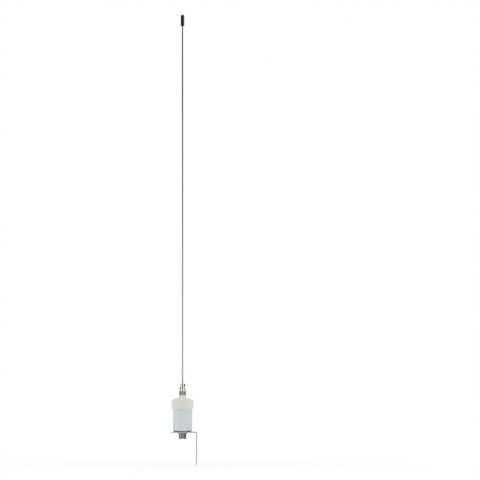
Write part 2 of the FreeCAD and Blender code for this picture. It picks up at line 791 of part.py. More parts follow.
def make_matching_coil():
    body = new_body("matching_coil", AXIS_X, COIL_BASE)
    section = new_sketch(body, "XZ_Plane", "coil_section")
    draw_circle(section, COIL_RADIUS, "0", "Dims.wire_radius")
    winding = add_feature(body, "AdditiveHelix", section, "coil_winding")
    wind(winding, section)
    doc.recompute()
    cold_end = f"{FLANGE_TOP} - {COIL_BASE} + Dims.tag_thickness / 2"
    hot_end = f"{STUD_TAG_BASE} - {COIL_BASE} + Dims.tag_thickness / 2"
    add_lead(body, "coil_cold_lead", "0", cold_end)
    add_lead(body, "coil_hot_lead", "Dims.coil_length", hot_end)
    return body


def make_feed_wire():
    cup_end = f"({MOUTH} + {CONNECTOR_LENGTH} + Dims.insulator_back + Dims.cup_length)"
    base = f"({cup_end} - Dims.cup_bore_depth + Dims.fit_gap)"
    body = new_body("feed_wire", AXIS_X, base)
    tap = f"({FORM_BASE} + {TAP_HEIGHT} - {base})"
    path = new_sketch(body, "XZ_Plane", "feed_path")
    draw_outline(path, [
        (f"{COIL_RADIUS} - Dims.wire_radius - Dims.fit_gap", tap),
        ("Dims.feed_bend", tap),
        ("0", f"{tap} - Dims.feed_bend"),
        ("0", "0"),
    ], {1: "Dims.feed_bend"}, closed=False)
    section = new_sketch(body, "XY_Plane", "feed_section")
    draw_circle(section, "0", "0", "Dims.feed_radius")
    sweep(body, section, path, "feed_run")
    return body


# Ferrule, whip and tip

def make_whip_ferrule():
    body = new_body("whip_ferrule", AXIS_X, FERRULE_BASE)
    section = new_sketch(body, "XZ_Plane", "ferrule_section")
    draw_outline(section, [
        (STUD_BORE, "0"),
        ("Dims.ferrule_base_radius", "0"),
        ("Dims.ferrule_collar_radius", "Dims.ferrule_collar"),
        ("Dims.ferrule_shoulder_radius", "Dims.ferrule_shoulder"),
        ("Dims.ferrule_top_radius", FERRULE_HEIGHT),
        (WHIP_BORE, FERRULE_HEIGHT),
        (WHIP_BORE, WHIP_FLOOR),
        ("0", WHIP_FLOOR),
        ("0", THREAD_DEPTH),
        (STUD_BORE, THREAD_DEPTH),
    ])
    revolve(body, section)
    top_rim = rim_names(body, "Dims.ferrule_top_radius", FERRULE_HEIGHT)
    round_edges(body, top_rim, "Dims.ferrule_edge_round")
    for name, height in SCREW_HEIGHTS.items():
        hole = new_sketch(body, "YZ_Plane", f"ferrule_{name}_hole", turn=f"Dims.{name}_screw_turn")
        draw_circle(hole, "0", height, "Dims.screw_radius + Dims.fit_gap")
        pocket(body, hole, "Dims.ferrule_base_radius * 1.5", backward=True)
    return body


def make_set_screw(name):
    """Screw that points at the whip from one side of the ferrule."""
    body = new_body(f"{name}_set_screw", AXIS_X, f"{FERRULE_BASE} + {SCREW_HEIGHTS[name]}")
    turn_body(body, f"Dims.{name}_screw_turn")
    end = f"({WHIP_BORE} + Dims.screw_length)"
    section = new_sketch(body, "XZ_Plane", f"{name}_screw_section")
    draw_outline(section, [
        (WHIP_BORE, "0"),
        (end, "0"),
        (end, "Dims.screw_radius"),
        (f"{WHIP_BORE} + Dims.screw_point", "Dims.screw_radius"),
        (WHIP_BORE, "Dims.screw_radius - Dims.screw_point"),
    ])
    revolve(body, section, axis="H_Axis")
    key = new_sketch(body, "YZ_Plane", f"{name}_screw_key", lift=f"{end} - Dims.screw_key_depth")
    draw_hexagon(key, "Dims.screw_key")
    pocket(body, key, "Dims.screw_key_depth", backward=True)
    return body


def make_set_screws():
    group = doc.addObject("Part::Compound", "set_screws")
    group.Label = "set_screws"
    group.Links = [make_set_screw(name) for name in SCREW_HEIGHTS]
    doc.recompute()
    return group


def make_whip():
    body = new_body("whip", AXIS_X, WHIP_BASE)
    section = new_sketch(body, "XZ_Plane", "whip_section")
    draw_outline(section, [
        ("0", "0"),
        ("Dims.whip_base_radius", "0"),
        ("Dims.whip_base_radius", "Dims.whip_grip"),
        ("Dims.whip_end_radius", f"Dims.whip_length - {TIP_BORE_DEPTH}"),
        ("Dims.whip_end_radius", "Dims.whip_length"),
        ("0", "Dims.whip_length"),
    ])
    revolve(body, section)
    return body


def make_tip_cap():
    body = new_body("tip_cap", AXIS_X, TIP_BASE)
    bore = "(Dims.whip_end_radius + Dims.fit_gap)"
    outside = f"({bore} + Dims.tip_wall)"
    section = new_sketch(body, "XZ_Plane", "tip_section")
    draw_outline(section, [
        (bore, "0"),
        (outside, "0"),
        (outside, "Dims.tip_length"),
        ("0", "Dims.tip_length"),
        ("0", TIP_BORE_DEPTH),
        (bore, TIP_BORE_DEPTH),
    ])
    revolve(body, section)
    round_edges(body, rim_names(body, outside, "Dims.tip_length"), "Dims.tip_top_round")
    round_edges(body, rim_names(body, outside, "0"), "Dims.tip_foot_round")
    return body


# Build, check and write

def write_parts(pieces):
    doc.recompute()
    for item in doc.Objects:
        if "Invalid" in item.State or "Error" in item.State:
            raise RuntimeError(f"{item.Label} did not compute: {item.State}")
    for piece in pieces:
        if piece.Shape.isNull() or not piece.Shape.isValid():
            raise RuntimeError(f"{piece.Label} has no valid shape")
    os.makedirs("parts", exist_ok=True)
    for piece in pieces:
        piece.Shape.exportStep(os.path.join("parts", f"{piece.Label}.step"))


fill_sheet()
write_parts([
    make_bracket(),
    make_base_gasket(),
    make_lock_washer(),
    make_jam_nut(),
    make_connector_body(),
    make_connector_insulator(),
    make_centre_contact(),
    make_connector_seal(),
    make_coil_housing(),
    make_coil_cap(),
    make_cap_seal(),
    make_ground_tag(),
    make_coil_form(),
    make_matching_coil(),
    make_feed_wire(),
    make_stud_tag(),
    make_top_stud(),
    make_stud_seal(),
    make_whip_ferrule(),
    make_set_screws(),
    make_whip(),
    make_tip_cap(),
])
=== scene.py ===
"""Looks of a marine VHF whip antenna on an angle bracket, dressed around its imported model, in metres."""

import json
import math

import bmesh
import bpy
from mathutils import Matrix, Vector

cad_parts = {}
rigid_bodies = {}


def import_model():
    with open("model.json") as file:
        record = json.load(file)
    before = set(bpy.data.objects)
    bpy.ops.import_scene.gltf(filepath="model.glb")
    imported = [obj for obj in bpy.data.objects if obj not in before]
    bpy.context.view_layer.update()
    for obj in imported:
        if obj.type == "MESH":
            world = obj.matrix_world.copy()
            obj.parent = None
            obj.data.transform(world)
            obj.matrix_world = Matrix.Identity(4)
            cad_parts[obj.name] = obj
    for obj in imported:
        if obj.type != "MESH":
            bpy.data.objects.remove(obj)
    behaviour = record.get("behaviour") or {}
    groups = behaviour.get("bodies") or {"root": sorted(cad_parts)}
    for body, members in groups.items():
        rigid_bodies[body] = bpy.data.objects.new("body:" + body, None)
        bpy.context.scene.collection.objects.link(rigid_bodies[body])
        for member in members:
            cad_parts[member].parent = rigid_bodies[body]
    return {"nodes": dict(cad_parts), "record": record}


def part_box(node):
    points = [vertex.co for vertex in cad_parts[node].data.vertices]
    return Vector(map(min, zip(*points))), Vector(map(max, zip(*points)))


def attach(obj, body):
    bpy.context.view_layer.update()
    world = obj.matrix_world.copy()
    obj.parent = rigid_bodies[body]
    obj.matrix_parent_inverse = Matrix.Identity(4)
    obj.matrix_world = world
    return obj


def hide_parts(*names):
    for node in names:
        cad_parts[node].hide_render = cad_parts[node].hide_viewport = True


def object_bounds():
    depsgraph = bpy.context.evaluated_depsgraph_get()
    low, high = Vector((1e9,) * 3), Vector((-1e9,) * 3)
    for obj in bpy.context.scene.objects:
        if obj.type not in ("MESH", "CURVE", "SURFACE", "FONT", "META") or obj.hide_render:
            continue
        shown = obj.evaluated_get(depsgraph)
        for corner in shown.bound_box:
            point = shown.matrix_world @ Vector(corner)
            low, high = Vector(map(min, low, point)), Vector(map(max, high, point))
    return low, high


MM = 0.001
BODY = "root"

for leftover in list(bpy.data.objects):
    bpy.data.objects.remove(leftover)
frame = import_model()
nodes = frame["nodes"]
cad_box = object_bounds()

scene = bpy.context.scene
scene.view_settings.view_transform = "Standard"


# Places read from the frame

housing_low, housing_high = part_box("coil_housing")
AXIS = (housing_low + housing_high) / 2
FLOOR_LEVEL = cad_box[0].z
PLATE_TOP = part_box("mounting_bracket")[1].z
FERRULE_FOOT, FERRULE_TOP = (corner.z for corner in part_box("whip_ferrule"))
TIP_FOOT, TIP_TOP = (corner.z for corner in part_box("tip_cap"))
SOCKET_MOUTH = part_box("connector_body")[0].z
NUT_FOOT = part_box("jam_nut")[0].z
HEIGHT_PLAY = 1e-6


def radius_range(node, low, high):
    """Smallest and largest distance from the antenna's axis of a node's points between two heights."""
    points = [vertex.co for vertex in nodes[node].data.vertices]
    level_points = [point for point in points if low - HEIGHT_PLAY <= point.z <= high + HEIGHT_PLAY]
    distances = [math.hypot(point.x - AXIS.x, point.y - AXIS.y) for point in level_points]
    return min(distances), max(distances)


THREAD_CREST = radius_range("connector_body", SOCKET_MOUTH, NUT_FOOT)[1]


# Socket's sizes in millimetres, which the frame doesn't give

INCH = 25.4
THREADS_PER_INCH = 24
THREAD_PITCH = INCH / THREADS_PER_INCH
CREST_SHARE = 1 / 8
ROOT_SHARE = 1 / 4
FLANK_SHARE = (1 - CREST_SHARE - ROOT_SHARE) / 2
DEPTH_SHARE = 0.541
THREAD_DEPTH = DEPTH_SHARE * THREAD_PITCH
BORE_RADIUS = 6.15
BACK_WALL = 1.5
COLLAR_CHAMFER = 0.5
SEAL_PLAY = 0.1
NOTCH_WIDTH = 2.4
NOTCH_DEPTH = 1.2
NOTCH_OVERCUT = 1.0


# Shader nodes

WHITE = (1.0, 1.0, 1.0, 1.0)
METAL = {"Metallic": 1.0}

# Where most values of a noise texture lie
NOISE_RANGE = (0.3, 0.7)


def cleared_tree(owner):
    """Empty node tree of a material or a world."""
    owner.use_nodes = True
    owner.node_tree.nodes.clear()
    return owner.node_tree


def add_node(tree, kind, inputs=None, **settings):
    """Shader node with some of its settings and inputs filled in."""
    node = tree.nodes.new(f"ShaderNode{kind}")
    for name, value in settings.items():
        setattr(node, name, value)
    for name, value in (inputs or {}).items():
        node.inputs[name].default_value = value
    return node


class Finish:
    """A material whose colour, roughness and relief come from layers of texture, sized in millimetres."""

    def __init__(self, name, inputs):
        self.material = bpy.data.materials.new(name)
        self.tree = cleared_tree(self.material)
        self.shader = self.add("BsdfPrincipled", inputs)
        output = self.add("OutputMaterial")
        self.link(self.shader.outputs["BSDF"], output.inputs["Surface"])
        self.position = self.add("TexCoord").outputs["Object"]
        self.relief = None

    def add(self, kind, inputs=None, **settings):
        return add_node(self.tree, kind, inputs, **settings)

    def link(self, source, target):
        self.tree.links.new(source, target)

    def noise(self, size, stretch=(1, 1, 1), detail=3.0, roughness=0.5):
        """Noise with grains of a given size, drawn out along each axis by its stretch."""
        scale = [1 / (size * MM * factor) for factor in stretch]
        mapping = self.add("Mapping", {"Scale": scale})
        texture = self.add("TexNoise", {"Scale": 1.0, "Detail": detail, "Roughness": roughness})
        self.link(self.position, mapping.inputs["Vector"])
        self.link(mapping.outputs["Vector"], texture.inputs["Vector"])
        return texture.outputs["Fac"]

    def level(self, factor, low, high, between=NOISE_RANGE):
        """A value that goes from low to high as the factor goes through its range."""
        start, end = between
        spread = self.add("MapRange", {"From Min": start, "From Max": end, "To Min": low, "To Max": high})
        self.link(factor, spread.inputs["Value"])
        return spread.outputs["Result"]

    def sum(self, first, second):
        node = self.add("Math", operation="ADD")
        self.link(first, node.inputs[0])
        self.link(second, node.inputs[1])
        return node.outputs["Value"]

    def distance_from_axis(self):
        """Distance from the antenna's axis, in metres."""
        offset = self.add("VectorMath", {1: (AXIS.x, AXIS.y, 0.0)}, operation="SUBTRACT")
        flat = self.add("VectorMath", {1: (1.0, 1.0, 0.0)}, operation="MULTIPLY")
        length = self.add("VectorMath", operation="LENGTH")
        self.link(self.position, offset.inputs[0])
        self.link(offset.outputs["Vector"], flat.inputs[0])
        self.link(flat.outputs["Vector"], length.inputs[0])
        return length.outputs["Value"]

    def colour(self, factor, dark, light, between=NOISE_RANGE):
        """Base colour that goes from dark to light as the factor goes through its range."""
        ramp = self.add("ValToRGB")
        first, last = ramp.color_ramp.elements
        first.position, last.position = between
        first.color = (*dark, 1.0)
        last.color = (*light, 1.0)
        self.link(factor, ramp.inputs["Fac"])
        self.link(ramp.outputs["Color"], self.shader.inputs["Base Color"])

    def roughness(self, factor, low, high):
        self.link(self.level(factor, low, high), self.shader.inputs["Roughness"])

    def bump(self, factor, depth):
        """Relief of a given depth, laid over any relief there already is."""
        node = self.add("Bump", {"Distance": depth * MM})
        self.link(factor, node.inputs["Height"])
        if self.relief is not None:
            self.link(self.relief, node.inputs["Normal"])
        self.relief = node.outputs["Normal"]
        self.link(self.relief, self.shader.inputs["Normal"])


# Materials

def shade(colour, factor):
    """A colour made darker or lighter by a factor."""
    return tuple(channel * factor for channel in colour)


def turned_metal(name, colour, rough, ring=0.25, depth=0.004):
    """Plated metal with the fine rings of the lathe and a faint cloudy tarnish."""
    finish = Finish(name, METAL)
    rings = finish.noise(size=ring, stretch=(80, 80, 1), detail=2.0)
    tarnish = finish.noise(size=5.0, detail=4.0)
    finish.colour(tarnish, dark=shade(colour, 0.9), light=shade(colour, 1.05))
    finish.roughness(tarnish, *rough)
    finish.bump(rings, depth)
    return finish.material


def threaded_metal(name, colour, rough):
    """Plated metal with painted shade that darkens it towards the root of the socket's thread, and a faint
    random tarnish over it.
    """
    finish = Finish(name, METAL)
    rings = finish.noise(size=0.25, stretch=(80, 80, 1), detail=2.0)
    tarnish = finish.noise(size=2.5, detail=5.0, roughness=0.6)
    thread_root = THREAD_CREST - THREAD_DEPTH * MM
    # Painted shade: the colour falls to half its brightness with depth into the thread's grooves
    height = finish.level(finish.distance_from_axis(), 0.0, 1.0, between=(thread_root, THREAD_CREST))
    grime = finish.level(tarnish, -0.12, 0.12)
    finish.colour(finish.sum(height, grime), dark=shade(colour, 0.5), light=colour, between=(0.1, 0.95))
    finish.roughness(tarnish, *rough)
    finish.bump(rings, depth=0.003)
    return finish.material


def drawn_rod(name, colour, rough):
    """Ground stainless rod: long fine scratches and a slow change of sheen along it."""
    finish = Finish(name, METAL)
    scratches = finish.noise(size=0.12, stretch=(1, 1, 250))
    drift = finish.noise(size=30.0, stretch=(1, 1, 3))
    finish.colour(drift, dark=shade(colour, 0.94), light=shade(colour, 1.04))
    finish.roughness(scratches, *rough)
    finish.bump(scratches, depth=0.002)
    return finish.material


def brushed_sheet(name, colour, rough):
    """Stainless sheet brushed along the strip, before and after its fold alike."""
    finish = Finish(name, METAL)
    lines = finish.noise(size=0.14, stretch=(180, 1, 180))
    streaks = finish.noise(size=0.8, stretch=(70, 1, 70), detail=5.0, roughness=0.65)
    cloud = finish.noise(size=12.0, detail=4.0)
    worn = finish.sum(finish.level(streaks, 0.0, 0.75), finish.level(cloud, 0.0, 0.25))
    finish.colour(worn, dark=shade(colour, 0.84), light=shade(colour, 1.10), between=(0.1, 0.9))
    finish.roughness(streaks, *rough)
    finish.bump(streaks, depth=0.008)
    finish.bump(lines, depth=0.006)
    return finish.material


def moulded_plastic(name, colour, stain, rough):
    """Moulded plastic with a fine even grain, slow flow marks and a trace of yellowing."""
    finish = Finish(name, {"Specular IOR Level": 0.4, "Subsurface Weight": 0.08,
                           "Subsurface Radius": (1.0, 0.9, 0.8), "Subsurface Scale": 0.8 * MM})
    grain = finish.noise(size=0.35, detail=2.0)
    flow = finish.noise(size=14.0, stretch=(1, 1, 2.5))
    finish.colour(flow, dark=stain, light=colour)
    finish.roughness(flow, *rough)
    finish.bump(flow, depth=0.03)
    finish.bump(grain, depth=0.012)
    return finish.material


def soft_rubber(name, colour, dust, rough, grain=0.3, depth=0.02):
    """Rubber or vinyl with a fine skin and a little dust in it."""
    finish = Finish(name, {"Specular IOR Level": 0.35})
    skin = finish.noise(size=grain)
    dusting = finish.noise(size=4.0, detail=6.0, roughness=0.65)
    finish.colour(dusting, dark=colour, light=dust, between=(0.35, 0.8))
    finish.roughness(dusting, *rough)
    finish.bump(skin, depth)
    return finish.material


def drawn_wire(name, bright, dull, rough):
    """Copper wire, dulled and roughened in patches, with faint die marks."""
    finish = Finish(name, METAL)
    patches = finish.noise(size=3.0, detail=5.0, roughness=0.6)
    marks = finish.noise(size=0.1, detail=2.0)
    finish.colour(patches, dark=dull, light=bright, between=(0.35, 0.6))
    finish.roughness(patches, *rough)
    finish.bump(marks, depth=0.003)
    return finish.material


MATERIALS = {
    "tip_vinyl": soft_rubber("satin_vinyl", colour=(0.004, 0.004, 0.0045), dust=(0.010, 0.010, 0.010),
                             rough=(0.26, 0.40), grain=0.5, depth=0.015),
    "whip_steel": drawn_rod("ground_stainless", colour=(0.56, 0.56, 0.54), rough=(0.20, 0.32)),
    "ferrule_nickel": turned_metal("polished_nickel", colour=(0.70, 0.70, 0.635), rough=(0.13, 0.24)),
    "screw_steel": turned_metal("blackened_steel", colour=(0.09, 0.09, 0.085), rough=(0.28, 0.42)),
    "stud_brass": turned_metal("turned_brass", colour=(0.72, 0.55, 0.25), rough=(0.22, 0.36)),
    "tag_tinned": turned_metal("dip_tinned", colour=(0.66, 0.64, 0.58), rough=(0.28, 0.48),
                               ring=1.2, depth=0.01),
    "seal_rubber": soft_rubber("seal_rubber", colour=(0.018, 0.018, 0.018), dust=(0.04, 0.04, 0.038),
                               rough=(0.45, 0.62)),
    "cap_plastic": moulded_plastic("warm_white_plastic", colour=(0.72, 0.735, 0.675),
                                   stain=(0.69, 0.705, 0.64), rough=(0.42, 0.54)),
    "housing_plastic": moulded_plastic("cool_white_plastic", colour=(0.655, 0.695, 0.705),
                                       stain=(0.63, 0.67, 0.68), rough=(0.38, 0.50)),
    "form_plastic": moulded_plastic("natural_nylon", colour=(0.78, 0.74, 0.62),
                                    stain=(0.72, 0.67, 0.54), rough=(0.40, 0.52)),
    "coil_copper": drawn_wire("bare_copper", bright=(0.83, 0.44, 0.28), dull=(0.55, 0.26, 0.15),
                              rough=(0.42, 0.24)),
    "connector_nickel": threaded_metal("plated_shell_painted_root_shade", colour=(0.60, 0.60, 0.53), rough=(0.16, 0.28)),
    "insulator_plastic": moulded_plastic("white_fluoropolymer", colour=(0.84, 0.84, 0.82),
                                         stain=(0.80, 0.80, 0.77), rough=(0.36, 0.48)),
    "contact_silver": turned_metal("silvered_contact", colour=(0.80, 0.78, 0.72), rough=(0.16, 0.34)),
    # Dark grey rubber ring under the housing, toned dark enough to also paint the shade beneath the
    # housing's foot
    "gasket_rubber": soft_rubber("grey_rubber_and_painted_shade", colour=(0.075, 0.079, 0.079), dust=(0.125, 0.13, 0.13),
                                 rough=(0.60, 0.78)),
    "bracket_steel": brushed_sheet("brushed_stainless", colour=(0.60, 0.60, 0.60), rough=(0.26, 0.46)),
    # The nut's plating is dulled, and made far darker than the socket's so that its colour also paints the
    # dark reflections of its flats
    "nut_nickel": turned_metal("dulled_nut_and_painted_dark_reflection", colour=(0.26, 0.26, 0.235), rough=(0.24, 0.38)),
}

for subpart in frame["record"]["subparts"]:
    node_mesh = nodes[subpart["node"]].data
    node_mesh.materials.clear()
    node_mesh.materials.append(MATERIALS[subpart["material_slot"]])


# Meshes

SEGMENTS = 96
WELD = 1e-7
SHARP_EDGE = math.radians(32)


def on_circle(radius, step, height):
    """Point of a circle about the antenna's axis, some steps round it."""
    angle = 2 * math.pi * step / SEGMENTS
    return AXIS.x + radius * math.cos(angle), AXIS.y + radius * math.sin(angle), height


def ring_of(mesh, radius, height):
    """Circle of points about the antenna's axis."""
    return [mesh.verts.new(on_circle(radius, step, height)) for step in range(SEGMENTS)]


def join_rings(mesh, rings):
    """Faces from each ring of points to the next."""
    for lower, upper in zip(rings, rings[1:]):
        lower_next = lower[1:] + lower[:1]
        upper_next = upper[1:] + upper[:1]
        for corners in zip(lower, lower_next, upper_next, upper):
            mesh.faces.new(corners)


def add_box(mesh, low, high):
    """Closed box between two corners."""
    middle = (Vector(low) + Vector(high)) / 2
    size = Vector(high) - Vector(low)
    bmesh.ops.create_cube(mesh, size=1.0, matrix=Matrix.LocRotScale(middle, None, size))


def add_object(name, mesh, material=None):
    """New object with a finished mesh, in the scene."""
    data = bpy.data.meshes.new(name)
    mesh.to_mesh(data)
    mesh.free()
    if material is not None:
        data.materials.append(material)
    item = bpy.data.objects.new(name, data)
    scene.collection.objects.link(item)
    return item


def add_piece(name, mesh, slot, replaced):
    """Piece that rides on the antenna, takes a slot's finish and stands for one of its nodes."""
    bmesh.ops.remove_doubles(mesh, verts=mesh.verts, dist=WELD)
    bmesh.ops.recalc_face_normals(mesh, faces=mesh.faces)
    piece = add_object(name, mesh, MATERIALS[slot])
    piece.data.shade_smooth()
    piece.data.set_sharp_from_angle(angle=SHARP_EDGE)
    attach(piece, BODY)
    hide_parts(replaced)
    return piece


def cut_away(piece, cutter):
    """Takes the cutter's form out of a piece and keeps the result as the piece's own mesh."""
    change = piece.modifiers.new("cut", "BOOLEAN")
    change.operation = "DIFFERENCE"
    change.solver = "EXACT"
    change.object = cutter
    settled = piece.evaluated_get(bpy.context.evaluated_depsgraph_get())
    data = bpy.data.meshes.new_from_object(settled)
    piece.modifiers.clear()
    piece.data = data
    bpy.data.objects.remove(cutter)


# Whip

WHIP_CHAMFER = 0.3 * MM
TAPER_STEPS = 48


def make_whip_rod():
    """The whip as one smooth tapered rod, with its ends broken by a small chamfer."""
    low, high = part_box("whip")
    base_radius = radius_range("whip", low.z, FERRULE_TOP)[1]
    end_radius = radius_range("whip", high.z, high.z)[1]
    profile = [(base_radius - WHIP_CHAMFER, low.z), (base_radius, low.z + WHIP_CHAMFER)]
    for step in range(TAPER_STEPS + 1):
        share = step / TAPER_STEPS
        radius = base_radius + (end_radius - base_radius) * share
        profile.append((radius, FERRULE_TOP + (TIP_FOOT - FERRULE_TOP) * share))
    profile += [(end_radius, high.z - WHIP_CHAMFER), (end_radius - WHIP_CHAMFER, high.z)]
    mesh = bmesh.new()
    rings = [ring_of(mesh, radius, height) for radius, height in profile]
    join_rings(mesh, rings)
    mesh.faces.new(rings[0])
    mesh.faces.new(rings[-1])
    add_piece("whip_rod", mesh, "whip_steel", replaced="whip")


# Socket

# Corners of the thread's profile: place along one pitch, and height over the root from 0 to 1
THREAD_CORNERS = [
    (0.0, 1.0),
    (CREST_SHARE, 1.0),
    (CREST_SHARE + FLANK_SHARE, 0.0),
    (1 - FLANK_SHARE, 0.0),
]


def thread_skin(mesh, low, high, low_radius, high_radius):
    """Right-handed thread between two heights, run out at each end to a plain circle of a given radius."""
    pitch = THREAD_PITCH * MM
    depth = THREAD_DEPTH * MM
    # The first turn starts below the foot, so that each upright column of points goes from foot to top
    turns = range(-1, math.ceil((high - low) / pitch) + 2)
    rows = [(turn + place, share) for turn in turns for place, share in THREAD_CORNERS]
    columns = []
    for step in range(SEGMENTS):
        column = []
        for place, share in rows:
            height = low + (place + step / SEGMENTS) * pitch
            if height <= low:
                reached, height = low_radius, low
            elif height >= high:
                reached, height = high_radius, high
            else:
                run_out = min(low_radius + height - low, high_radius + high - height)
                reached = min(THREAD_CREST - depth * (1 - share), run_out)
            column.append(mesh.verts.new(on_circle(reached, step, height)))
        columns.append(column)
    # Once round, the thread has risen by one pitch
    columns.append(columns[0][len(THREAD_CORNERS):])
    for here, there in zip(columns, columns[1:]):
        for corners in zip(here, there, there[1:], here[1:]):
            mesh.faces.new(corners)


def cut_notches(piece, reach):
    """Cuts two crossed slots into the socket's mouth, which leave four notches in its rim."""
    half = NOTCH_WIDTH / 2 * MM
    foot = SOCKET_MOUTH - NOTCH_OVERCUT * MM
    top = SOCKET_MOUTH + NOTCH_DEPTH * MM
    mesh = bmesh.new()
    add_box(mesh, (AXIS.x - reach, AXIS.y - half, foot), (AXIS.x + reach, AXIS.y + half, top))
    add_box(mesh, (AXIS.x - half, AXIS.y - reach, foot), (AXIS.x + half, AXIS.y + reach, top))
    cut_away(piece, add_object("notches", mesh))


def make_socket_shell():
    """The coaxial socket's shell with its real thread, down to the notches in its mouth."""
    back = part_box("connector_body")[1].z
    seal_low, seal_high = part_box("connector_seal")
    flange_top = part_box("ground_tag")[0].z
    flange_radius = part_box("connector_body")[1].x - AXIS.x
    plain_radius = radius_range("connector_body", NUT_FOOT, NUT_FOOT)[0]
    mouth_radius = THREAD_CREST - THREAD_DEPTH * MM
    seal_outer = seal_high.x - AXIS.x + SEAL_PLAY * MM
    seal_inner = seal_outer - (seal_high.z - seal_low.z) - 2 * SEAL_PLAY * MM
    chamfer = COLLAR_CHAMFER * MM
    back_bore, collar_end = radius_range("connector_body", back, back)
    collar_radius = collar_end + chamfer
    bore = BORE_RADIUS * MM
    seat = flange_top - BACK_WALL * MM
    # From the thread's top, past the seal's groove, round flange and collar, and down the bore to the mouth
    profile = [
        (plain_radius, NUT_FOOT), (plain_radius, seal_low.z), (seal_inner, seal_low.z),
        (seal_inner, seal_high.z), (seal_outer, seal_high.z), (seal_outer, seal_low.z),
        (flange_radius, seal_low.z), (flange_radius, flange_top), (collar_radius, flange_top),
        (collar_radius, back - chamfer), (collar_end, back), (back_bore, back),
        (back_bore, seat), (bore, seat), (bore, SOCKET_MOUTH), (mouth_radius, SOCKET_MOUTH),
    ]
    mesh = bmesh.new()
    thread_skin(mesh, SOCKET_MOUTH, NUT_FOOT, mouth_radius, plain_radius)
    join_rings(mesh, [ring_of(mesh, radius, height) for radius, height in profile])
    piece = add_piece("socket_shell", mesh, "connector_nickel", replaced="connector_body")
    cut_notches(piece, reach=flange_radius)


make_whip_rod()
make_socket_shell()


# Stage

CARD_STEPS = 48
FLOOR_STEPS = 96
FLOOR_COLOUR = (0.93, 0.93, 0.93, 1.0)


def around(azimuth, distance, height):
    """Place round the antenna's axis; azimuth 0 is at the camera's side and 90 on its right."""
    angle = math.radians(azimuth)
    return Vector((AXIS.x + distance * math.sin(angle), AXIS.y - distance * math.cos(angle), height))


def seen_directly(tree):
    """1 where a camera, glossy or transmission ray looks, 0 for the rays that carry soft light."""
    path = add_node(tree, "LightPath")
    first = add_node(tree, "Math", operation="MAXIMUM")
    second = add_node(tree, "Math", operation="MAXIMUM")
    tree.links.new(path.outputs["Is Camera Ray"], first.inputs[0])
    tree.links.new(path.outputs["Is Glossy Ray"], first.inputs[1])
    tree.links.new(first.outputs["Value"], second.inputs[0])
    tree.links.new(path.outputs["Is Transmission Ray"], second.inputs[1])
    return second.outputs["Value"]


def make_world(ambient):
    """White where it is seen, and an even soft fill elsewhere."""
    scene.world = bpy.data.worlds.new("studio")
    tree = cleared_tree(scene.world)
    soft = add_node(tree, "Background", {"Color": WHITE, "Strength": ambient})
    white = add_node(tree, "Background", {"Color": WHITE, "Strength": 1.0})
    mix = add_node(tree, "MixShader")
    output = add_node(tree, "OutputWorld")
    tree.links.new(seen_directly(tree), mix.inputs["Fac"])
    tree.links.new(soft.outputs["Background"], mix.inputs[1])
    tree.links.new(white.outputs["Background"], mix.inputs[2])
    tree.links.new(mix.outputs["Shader"], output.inputs["Surface"])


def floor_material(near_white, fade):
    """Pale floor that keeps a shadow near the object and fades to the white background."""
    material = bpy.data.materials.new("studio_floor")
    tree = cleared_tree(material)
    position = add_node(tree, "TexCoord")
    distance = add_node(tree, "VectorMath", operation="LENGTH")
    spread = add_node(tree, "MapRange", {"From Min": fade[0], "From Max": fade[1],
                                         "To Min": near_white, "To Max": 1.0},
                      interpolation_type="SMOOTHSTEP")
    seen = add_node(tree, "Math", operation="MULTIPLY")
    diffuse = add_node(tree, "BsdfDiffuse", {"Color": FLOOR_COLOUR})
    white = add_node(tree, "Emission", {"Color": WHITE, "Strength": 1.0})
    mix = add_node(tree, "MixShader")
    output = add_node(tree, "OutputMaterial")
    tree.links.new(position.outputs["Object"], distance.inputs[0])
    tree.links.new(distance.outputs["Value"], spread.inputs["Value"])
    tree.links.new(spread.outputs["Result"], seen.inputs[0])
    tree.links.new(seen_directly(tree), seen.inputs[1])
    tree.links.new(seen.outputs["Value"], mix.inputs["Fac"])
    tree.links.new(diffuse.outputs["BSDF"], mix.inputs[1])
    tree.links.new(white.outputs["Emission"], mix.inputs[2])
    tree.links.new(mix.outputs["Shader"], output.inputs["Surface"])
    return material


def make_floor(radius, near_white, fade):
    """Round floor at the level of the antenna's lowest point."""
    mesh = bmesh.new()
    bmesh.ops.create_circle(mesh, cap_ends=True, segments=FLOOR_STEPS, radius=radius)
    floor = add_object("floor", mesh, floor_material(near_white, fade))
    floor.location = (AXIS.x, AXIS.y, FLOOR_LEVEL)


def card_material(name, low, high, glow):
    """Glow that changes evenly from the card's foot to its top."""
    material = bpy.data.materials.new(name)
    material.cycles.emission_sampling = "NONE"
    tree = cleared_tree(material)
    position = add_node(tree, "TexCoord")
    split = add_node(tree, "SeparateXYZ")
    spread = add_node(tree, "MapRange", {"From Min": low, "From Max": high,
                                         "To Min": glow[0], "To Max": glow[1]})
    light = add_node(tree, "Emission", {"Color": WHITE})
    output = add_node(tree, "OutputMaterial")
    tree.links.new(position.outputs["Object"], split.inputs["Vector"])
    tree.links.new(split.outputs["Z"], spread.inputs["Value"])
    tree.links.new(spread.outputs["Result"], light.inputs["Strength"])
    tree.links.new(light.outputs["Emission"], output.inputs["Surface"])
    return material


def add_card(name, azimuth, spread, distance, low, high, glow):
    """Upright card, curved round the antenna to each side of an azimuth, that only reflections see."""
    mesh = bmesh.new()
    columns = []
    for step in range(CARD_STEPS + 1):
        turn = azimuth - spread + 2 * spread * step / CARD_STEPS
        columns.append([mesh.verts.new(around(turn, distance, height)) for height in (low, high)])
    for (low_a, high_a), (low_b, high_b) in zip(columns, columns[1:]):
        mesh.faces.new((low_a, low_b, high_b, high_a))
    card = add_object(name, mesh, card_material(name, low, high, glow))
    card.visible_camera = False
    card.visible_diffuse = False
    card.visible_transmission = False
    card.visible_shadow = False


